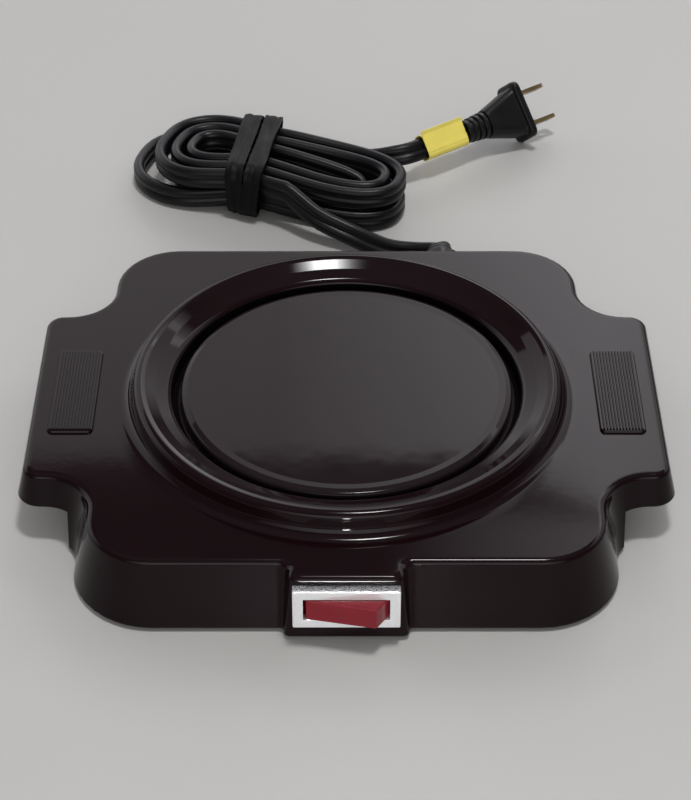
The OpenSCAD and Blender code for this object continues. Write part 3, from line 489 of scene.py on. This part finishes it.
# Enamel is fired on: a smooth dark skin with a long soft waviness, scuffed by pots, so that its
# reflections have a soft, lumpy edge.
enamel = mottled("enamel_fired_on_steel", "#1b1415", "#20181a", (0.03, 0.045), 9, 16, 0.025, IOR=1.225)
bm = bmesh.new()
inside = PLATE_R - PLATE_T
spin_profile(bm, rounded([
    (0, PLATE_Z), (PLATE_R - 4.4, PLATE_Z, 8), (PLATE_R - 2.2, PLATE_Z + 0.045, 0.9), (PLATE_R, PLATE_Z - 0.7, 1.4),
    (PLATE_R, RIM_LOW),
    (inside, RIM_LOW), (inside, PLATE_Z - PLATE_T, 0.8), (STUD[0], PLATE_Z - PLATE_T), (STUD[0], STUD[1]),
    (0, STUD[1])], closed=False))
finish_piece(as_object("hot_plate_disc", bm, enamel), "housing", "plate_enamel", "hot_plate")

# Switch bezel
# A bright frame snapped on the switch body, standing 3 mm proud of the boss, with a stepped inside.
# Plated metal, polished in front; its top side is left grained and painted a darker grey, which is painted shade.
BEZEL_T = 3
BEZEL_LIP = 1.2
OPENING = (25.6, 8)


def facing_front(bm, at_y):
    """Turns what is drawn upright on the XY plane to stand on the switch's axis and face -Y."""
    bmesh.ops.rotate(bm, cent=(0, 0, 0), matrix=Matrix.Rotation(math.pi / 2, 3, "X"), verts=bm.verts)
    bmesh.ops.translate(bm, vec=(0, at_y, SWITCH_Z), verts=bm.verts)
    return bm


plated = mottled("aluminium_satin_frame", "#e2e4e7", "#ffffff", (0.08, 0.14), 0.7, 0.35, 0.014, Metallic=0.45)
# The grained metal's darker grey is painted shade for the frame's top side; its grain and roughness are its own.
grained_top_painted_shade = mottled("aluminium_grained_top_painted_shade", "#77787b", "#d8d8da", (0.2, 0.45), 0.5, 0.3, 0.15, Metallic=1.0)
bm = bmesh.new()
step = BEZEL_T - BEZEL_LIP
frame_rows = [(32, 14.4, 0.5, 0), (32, 14.4, 0.5, 2.65), (31.8, 14.2, 0.45, 2.9), (31.5, 13.9, 0.4, 3),
              (26.1, 8.5, 0.4, 3), (25.7, 8.1, 0.35, 2.9), (25.6, 8, 0.3, 2.65), (25.6, 8, 0.3, step),
              (28, 9.2, 0.3, step), (28, 9.2, 0.3, 0), (32, 14.4, 0.5, 0)]
draw_rows(bm, [level(rectangle(w, h, r), z) for w, h, r, z in frame_rows])
bmesh.ops.remove_doubles(bm, verts=bm.verts, dist=1e-4)
bezel = as_object("switch_bezel_frame", facing_front(bm, -BOSS[1]), plated)
paint_faces(bezel, grained_top_painted_shade, lambda at, normal: abs(normal.y) < 0.3 and at.z > SWITCH_Z + 6)
finish_piece(bezel, "housing", "bezel_metal", "switch_bezel")

# Rocker
# A wedge of translucent red plastic that tips about an upright pin behind its face, lit from inside.
# In the photograph its right end stands out.
ROCKER_Y = -85
ROCKER_H = 7.6
ROCKER_TIP = math.radians(-11)
rocker_red, tree, shader = start_material("polycarbonate_clear_red_moulding", Base_Color=linear("#a8162b"),
                                          Roughness=0.16, IOR=1.45, Transmission_Weight=0.3)
place = add_node(tree, "ShaderNodeTexCoord", {}).outputs["Object"]
flow = add_node(tree, "ShaderNodeTexNoise", {"Vector": place, "Scale": 1000 / 4, "Detail": 3})
tone = add_node(tree, "ShaderNodeMix", {"Factor": flow.outputs["Fac"], 6: linear("#7f0e1f"), 7: linear("#961428")},
                data_type="RGBA")
tree.links.new(tone.outputs[2], shader.inputs["Base Color"])
bm = bmesh.new()
half_profile = [(10.5, -8.2, 0.5), (13.2, -2.4, 0.5), (13.2, -1, 0.4), (4, 2.4), (2.6, 5.4)]
profile = rounded(half_profile + [(-c[0], *c[1:]) for c in reversed(half_profile)], 5)
low, high = draw_rows(bm, [level(profile, z) for z in (-ROCKER_H / 2, ROCKER_H / 2)])
cap(bm, low)
cap(bm, high)
bmesh.ops.dissolve_limit(bm, angle_limit=0.01, verts=bm.verts, edges=bm.edges)
bmesh.ops.bevel(bm, geom=[e for e in bm.edges if abs(e.verts[0].co.z - e.verts[1].co.z) < 1e-4], offset=0.4,
                segments=3, profile=0.5, affect="EDGES", material=-1, clamp_overlap=True)
bmesh.ops.rotate(bm, cent=(0, 0, 0), matrix=Matrix.Rotation(ROCKER_TIP, 3, "Z"), verts=bm.verts)
bmesh.ops.translate(bm, vec=(0, ROCKER_Y, SWITCH_Z), verts=bm.verts)
finish_piece(as_object("rocker_wedge", bm, rocker_red), "rocker", "rocker_red", "rocker")

# Strain relief
# A ribbed tapered bushing of black rubber, snapped into the back wall, that the cord comes out of.
RELIEF_IN = 72.42
WALL_IN = 78.32
RELIEF_END = 95
rubber = mottled("rubber_black_moulded", "#0c0c0e", "#131315", (0.42, 0.55), 6, 0.8, 0.02, IOR=1.5)
bm = bmesh.new()
neck = [(0, RELIEF_IN), (5.6, RELIEF_IN), (7, WALL_IN), (RELIEF_R, WALL_IN), (RELIEF_R, FLANGE_Y),
        (7.4, FLANGE_Y), (7.4, FLANGE_Y + 1.8, 0.6), (5.7, FLANGE_Y + 2.3, 0.3)]
for k in range(3):
    start = FLANGE_Y + 3 + 2 * k
    radius = 5.4 - 0.3 * k
    neck += [(radius, start, 0.25), (radius - 0.05, start + 1.1, 0.25), (radius - 0.5, start + 1.3, 0.15),
             (radius - 0.5, start + 1.8, 0.15)]
neck += [(4.5, RELIEF_END - 0.3, 0.2), (4.3, RELIEF_END), (0, RELIEF_END)]
spin_profile(bm, rounded(neck, 4, closed=False), steps=64)
finish_piece(as_object("strain_relief_bushing", at_cord_exit(bm), rubber), "housing", "relief_rubber",
             "strain_relief")

# Cord
# One flat two-core lead in black vinyl, 1.24 m from the bushing to the plug: it curves behind the block,
# winds into a hank of five and a half turns that stand on edge in two layers, and runs on to the plug.
CORD_W = 8.2
CORD_T = 4.2
REAR = 80.5
HANK_AT = Vector((-31.5, 154, 0))
HANK_TURN = math.radians(-19)
TURNS_IN = 2.5
TURNS_CLIMB = 0.5
TURNS = 2 * TURNS_IN + TURNS_CLIMB
LAYER = 9.1
TIE_LIFT = 2.3
PLUG_FACE = Vector((68.4, 192.85, 12))
PLUG_TURN = math.radians(35)
PLUG_ROLL = math.radians(47)
PLUG_L = 28
TAG_L = 20
STRETCH_STEPS = 6
TURN_STEPS = 72


def smooth_step(s):
    """Eases from 0 to 1."""
    s = max(0, min(1, s))
    return s * s * (3 - 2 * s)


def hank_spot(t):
    """A point of the hank after t turns: loops drawn in at the waist, in on top, down, out on the table."""
    if t <= TURNS_IN:
        dip = t
    elif t <= TURNS_IN + TURNS_CLIMB:
        dip = TURNS_IN + 0.8 * math.sin(math.pi * (t - TURNS_IN) / TURNS_CLIMB)
    else:
        dip = TURNS - t
    slim = 5.7 * dip
    astray = (t - TURNS + 0.25) / 0.25
    out = 10 * math.cos(math.pi / 2 * astray) ** 2 if abs(astray) < 1 else 0
    angle = -math.pi / 2 - math.tau * t
    c, s = math.cos(angle), math.sin(angle)
    length, swell, waist = (41, -2.5 * c, 16) if c < 0 else (58, 2 * c, 38)
    u = c * (length - slim + out)
    drawn = 8 * math.exp(-u * u / (2 * waist * waist)) * abs(s)
    v = math.copysign((25.5 + swell - slim + 0.6 * out) * abs(s) ** 0.8 - drawn, s)
    climb = smooth_step((t - TURNS_IN) / TURNS_CLIMB)
    z = CORD_W / 2 + 0.1 + TIE_LIFT * math.exp(-u * u / (2 * 16 * 16)) + LAYER * (1 - climb)
    return HANK_AT + Matrix.Rotation(HANK_TURN, 3, "Z") @ Vector((u, v, z))


def spline(before, points, after):
    """A smooth line through points, that comes from a point before them and heads for one after them."""
    line = []
    guides = [before] + points + [after]
    for a, b, c, d in zip(guides, guides[1:], guides[2:], guides[3:]):
        for k in range(STRETCH_STEPS):
            s = k / STRETCH_STEPS
            line.append(b + s * (c - a) / 2 + s * s * (2 * a - 5 * b + 4 * c - d) / 2
                        + s ** 3 * (3 * b - a - 3 * c + d) / 2)
    return line + [points[-1]]


def flat_heading(angle):
    """A level direction."""
    return Vector((math.cos(angle), math.sin(angle), 0))


relief_end = Vector((RELIEF[0], RELIEF_END, RELIEF[1]))
lead_points = [Vector(p) for p in ((33.2, REAR + 19.6, 10.2), (31, REAR + 22.4, 6.8), (24.2, REAR + 24.8, 5),
                                   (14, REAR + 27.6, 4.8), (2, REAR + 35, 6), (-11, REAR + 41, 9.8))]
tail_points = [Vector(p) for p in ((1, REAR + 84.1, 7.4), (11, REAR + 81.3, 9.4), (18.5, REAR + 80.6, 11.2))]
hank = [hank_spot(k / TURN_STEPS) for k in range(round(TURNS * TURN_STEPS) + 1)]
into_hank = -flat_heading(HANK_TURN - math.radians(8))
out_of_hank = flat_heading(HANK_TURN + math.radians(8))
hank_start = hank[0] - CORD_W * into_hank
hank_end = hank[-1] + CORD_W * out_of_hank
plug_axis = flat_heading(PLUG_TURN)
plug_frame = Matrix.Translation(PLUG_FACE) @ Matrix.Rotation(PLUG_TURN, 4, "Z") @ Matrix.Rotation(PLUG_ROLL, 4, "X")
plug_wide = plug_frame.to_3x3() @ Vector((0, 1, 0))
plug_rear = PLUG_FACE - PLUG_L * plug_axis
upright = Vector((0, 0, 1))
across = Vector((1, 0, 0))
lead_lean = Vector((0.5, 0.5, 0.7))
lead = [relief_end] + spline(
    relief_end - Vector((0, 3, 0)), [relief_end + Vector((0, 2, 0))] + lead_points + [hank_start - CORD_W * into_hank], hank_start)
in_tag = plug_rear - TAG_L / 2 * plug_axis
tail = spline(
    hank_end, [hank_end + CORD_W * out_of_hank] + tail_points + [in_tag - (TAG_L + CORD_W) / 2 * plug_axis], in_tag)
tail += [in_tag, plug_rear + 1.5 * plug_axis]
lead_turns = [i / len(lead) for i in range(len(lead))]
tail_turns = [smooth_step(1.4 * i / (len(tail) - 1)) for i in range(len(tail))]
route = lead + [hank_start] + hank + [hank_end] + tail
leans = [(across if s < 0.5 else upright).lerp(lead_lean, math.sin(math.pi * s)) for s in lead_turns]
leans += [upright] * (len(hank) + 2)
leans += [upright.lerp(plug_wide, s) for s in tail_turns]


def cord_half(x):
    """Half the cord's thickness, this far from its middle: two round cores with a groove between."""
    core = CORD_T / 2
    if abs(x) > CORD_W / 2 - core:
        return math.sqrt(max(0, core ** 2 - (abs(x) - CORD_W / 2 + core) ** 2))
    return core - 0.75 * math.exp(-(x / 0.55) ** 2)


section = []
for k in range(28):
    angle = math.tau * k / 28
    x = CORD_W / 2 * math.cos(angle)
    section.append((x, math.copysign(cord_half(x), math.sin(angle))))
cord_rows = []
for i, (spot, lean) in enumerate(zip(route, leans)):
    ahead = (route[min(i + 1, len(route) - 1)] - route[max(i - 1, 0)]).normalized()
    wide = (lean - lean.dot(ahead) * ahead).normalized()
    thick = ahead.cross(wide)
    cord_rows.append([spot + x * wide + y * thick for x, y in section])
vinyl = mottled("vinyl_black_extruded", "#09090b", "#0d0d10", (0.3, 0.4), 14, 1.2, 0.008, IOR=1.33)
bm = bmesh.new()
first, last = draw_rows(bm, cord_rows)
cap(bm, first)
cap(bm, last)
cord = finish_piece(as_object("cord_flat_twin", bm, vinyl), "housing", "cord_rubber", "cord_lead", "cord_hank",
                    "cord_tail", sharp_degrees=60)

# Hank tie
# A strip of black vinyl tape wound twice round the waist of the hank, its two turns side by side and
# leaning, with the creases that tape gets when it is pulled tight.
TIE_W = 6.8
TIE_T = 1.2
TIE_HALF = 20.9
TIE_LOW = 1.5
TIE_HIGH = 20.5
TIE_STEP = 6.2
TIE_SHEAR = 0.17
TIE_SHIFT = -4
bm = bmesh.new()
tie_place = Matrix.Translation(HANK_AT) @ Matrix.Rotation(HANK_TURN, 4, "Z")
middle_z = (TIE_LOW + TIE_HIGH) / 2
corners = rectangle(2 * TIE_HALF, TIE_HIGH - TIE_LOW, 5, 8)
ring = []
for a, b in zip(corners, corners[1:] + corners[:1]):
    pieces = max(1, round((b - a).length / 1.5))
    ring += [a.lerp(b, k / pieces) for k in range(pieces)]
for turn, lean in ((-1, -0.05), (1, 0.16)):
    rows = []
    for k in range(17):
        aside = (k / 16 - 0.5) * TIE_W
        row = []
        for p in ring:
            crease = noise.noise(Vector((0.06 * p.x, 0.06 * p.y, 0.55 * aside + 9 * turn)))
            outwards = Vector((p.x / 2, 2.4 * p.y)).normalized() * (0.55 * crease + 0.45 * (turn + 1))
            u = TIE_SHIFT + turn * TIE_STEP / 2 + aside + lean * p.y - TIE_SHEAR * p.x
            row.append(tie_place @ Vector((u, p.x + outwards.x, middle_z + p.y + max(-0.2, outwards.y))))
        rows.append(row)
    draw_rows(bm, rows)
bmesh.ops.recalc_face_normals(bm, faces=bm.faces)
bmesh.ops.solidify(bm, geom=bm.faces[:], thickness=-TIE_T)
tape = mottled("vinyl_tape_stretched", "#070708", "#0b0b0d", (0.4, 0.52), 5, 1.6, 0.03, IOR=1.22)
tie = finish_piece(as_object("hank_tie_tape", bm, tape), "housing", "tie_rubber", "hank_tie", sharp_degrees=50)

# Cord tag
# A blank yellow paper label folded round the lead beside the plug, its free end curling up.
# Drawn as one strip in section, then thickened.
TAG = (CORD_W + 1.2, CORD_T + 1.2)
yellow_paper = mottled("paper_label_coated", "#dfce58", "#ecdc6e", (0.38, 0.5), 4, 1.5, 0.04, IOR=1.45)
bm = bmesh.new()
x, y = TAG[0] / 2, TAG[1] / 2
strip = rounded([(x + 1.2, y + 1.5), (x - 0.2, y + 0.7, 1), (-x, y, 1.6), (-x, -y, 1.6), (x, -y, 1.6), (x, y + 0.2, 1.6),
                 (-x + 2, y + 0.35)], 8, closed=False)
verts = [bm.verts.new((-PLUG_L - TAG_L, p.x, p.y)) for p in strip]
edges = [bm.edges.new(pair) for pair in zip(verts, verts[1:])]
for k in range(10):
    made = bmesh.ops.extrude_edge_only(bm, edges=edges)["geom"]
    edges = [e for e in made if isinstance(e, bmesh.types.BMEdge)]
    bmesh.ops.translate(bm, vec=((TAG_L - 1) / 10, 0, 0), verts=[v for v in made if isinstance(v, bmesh.types.BMVert)])
for v in bm.verts:
    v.co.z += 0.35 * noise.noise(0.22 * v.co) * (1 if v.co.y > 0 else 0.4)
bmesh.ops.recalc_face_normals(bm, faces=bm.faces)
bmesh.ops.solidify(bm, geom=bm.faces[:], thickness=0.3)
bmesh.ops.transform(bm, matrix=plug_frame, verts=bm.verts)
tag = finish_piece(as_object("cord_tag_wrap", bm, yellow_paper), "housing", "tag_paper", "cord_tag")

# Plug
# A two-blade plug of black vinyl moulded on the cord: a front plate to grip by, a body that tapers in
# width, and a ribbed neck where the lead goes in. Two brass blades stand out of its face.
FLANGE = (3, 23, 14)
bm = bmesh.new()
plug_rows = [(0, 21.6, 12.6, 2.4), (-0.35, 22.6, 13.6, 2.8), (-0.8, 23, 14, 3), (-2.2, 23, 14, 3),
             (-2.7, 22.5, 13.5, 2.8), (-3, 21.4, 12.6, 2.6), (-3.2, 19.6, 11.2, 3), (-4.2, 19, 10.5, 3.2),
             (-8, 17, 10, 3.4), (-13, 13.8, 9.8, 3.4), (-16.4, 11.8, 9.8, 3.6), (-17.7, 11, 9.8, 4)]
for k in range(4):
    start = -18 - 2.5 * k
    size = 10.4 - 0.4 * k
    plug_rows += [(start, 8.6, 8.6, 4.2), (start - 0.6, 8.4, 8.4, 4.1), (start - 0.75, size - 0.3, size - 0.3, 4.2),
                  (start - 1, size, size, 4.4), (start - 2.1, size, size, 4.4),
                  (start - 2.35, size - 0.4, size - 0.4, 4.2)]
plug_rows.append((-PLUG_L, 8.4, 8.4, 4))
front, back = draw_rows(bm, [[Vector((x, p.x, p.y)) for p in rectangle(w, h, r)] for x, w, h, r in plug_rows])
cap(bm, front)
cap(bm, back)
bmesh.ops.transform(bm, matrix=plug_frame, verts=bm.verts)
plug_vinyl = mottled("vinyl_plug_moulding", "#0b0b0d", "#101012", (0.3, 0.4), 8, 0.9, 0.012, IOR=1.32)
plug = finish_piece(as_object("plug_moulding", bm, plug_vinyl), "housing", "plug_rubber", "plug_body")

BLADE = (13, 1.5, 6.35)
BLADE_GAP = 12.7
brass = mottled("brass_stamped_tarnished", "#8f7c58", "#a8946c", (0.28, 0.4), 5, 0.7, 0.01, Metallic=1.0)
bm = bmesh.new()
for side in (-1, 1):
    height = BLADE[2] / 2
    outline = rounded([(-6, -height), (BLADE[0], -height, 1.6), (BLADE[0], height, 1.6), (-6, height)], 5)
    hole = [Vector((BLADE[0] - 4.2, 0)) + 1.6 * flat_heading(-math.tau * k / 20).xy for k in range(20)]
    faces = []
    loops = []
    for line in (outline, hole):
        verts = [bm.verts.new((p.x, side * BLADE_GAP / 2 - BLADE[1] / 2, p.y)) for p in line]
        loops.append([bm.edges.new(pair) for pair in zip(verts, verts[1:] + verts[:1])])
    faces = [f for f in bmesh.ops.triangle_fill(bm, edges=loops[0] + loops[1], use_beauty=True)["geom"]
             if isinstance(f, bmesh.types.BMFace)]
    made = bmesh.ops.extrude_face_region(bm, geom=faces, use_keep_orig=True)["geom"]
    bmesh.ops.translate(bm, vec=(0, BLADE[1], 0), verts=[v for v in made if isinstance(v, bmesh.types.BMVert)])
bmesh.ops.transform(bm, matrix=plug_frame, verts=bm.verts)
blades = finish_piece(as_object("plug_blades_stamped", bm, brass), "housing", "blade_brass", "plug_blades")


# Base, heating stack, switch works and wiring
# These pieces are the CAD model's own solids. They close the bottom and fill the inside, and each gets
# the finish that such a piece has.
def dress(material, *nodes):
    """Gives CAD nodes a material."""
    for node in nodes:
        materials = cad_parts[node].data.materials
        materials.clear()
        materials.append(material)


# Zinc-coated sheet has large pale spangles; nickel-plated steel is smooth and a little yellow.
zinc_sheet = mottled("zinc_coated_sheet", "#8b8d8f", "#a6a8a9", (0.36, 0.5), 7, 1.2, 0.01, Metallic=1.0)
nickel_steel = mottled("nickel_plated_steel", "#a8a59c", "#bcb9b0", (0.22, 0.34), 3, 0.6, 0.01, Metallic=1.0)
dress(zinc_sheet, "base_plate", "heat_shield", "element_clamp")
dress(nickel_steel, "base_screws", "stud_nuts", "crimp_terminals")
dress(rubber, "rubber_feet")
# The element's sheath is steel, browned by heat; its beads are unglazed steatite.
browned_steel = mottled("steel_sheath_heat_browned", "#4e4238", "#77695c", (0.4, 0.58), 4, 0.8, 0.02, Metallic=1.0)
steatite = mottled("steatite_unglazed", "#ddd5c4", "#ebe5d8", (0.6, 0.75), 2, 0.5, 0.02, IOR=1.55)
fibre = mottled("fibre_gasket_pressed", "#14120f", "#1e1b17", (0.8, 0.92), 1.5, 0.7, 0.08, IOR=1.3)
dress(browned_steel, "heating_element")
dress(steatite, "element_insulators")
dress(fibre, "plate_gasket")
# Black phenolic for the switch body; its contacts and tabs are brass and copper.
switch_black = mottled("phenolic_matt_moulding", "#121212", "#1a1a1a", (0.4, 0.5), 5, 0.9, 0.02, IOR=1.5)
copper = mottled("copper_spring_strip", "#b5673f", "#cd8054", (0.25, 0.38), 3, 0.6, 0.01, Metallic=1.0)
dress(switch_black, "switch_body")
dress(brass, "switch_terminals", "tab_connectors", "plunger")
dress(copper, "contact_arm")
# The neon lamp is a small clear glass bulb with a warm tint; each wire has a coloured vinyl skin.
neon_glass = mottled("neon_bulb_glass", "#f2c29a", "#f6d2b2", (0.05, 0.1), 3, 1.0, 0.005, IOR=1.5,
                     Transmission_Weight=0.6)
dress(neon_glass, "pilot_lamp")
for node, dark, light in (("wire_line", "#1a1a1b", "#242426"), ("wire_switched", "#7e2822", "#94362e"),
                          ("wire_neutral", "#dad6cb", "#e8e4da")):
    dress(mottled(f"vinyl_skin_{node}", dark, light, (0.38, 0.5), 6, 0.8, 0.01, IOR=1.5), node)
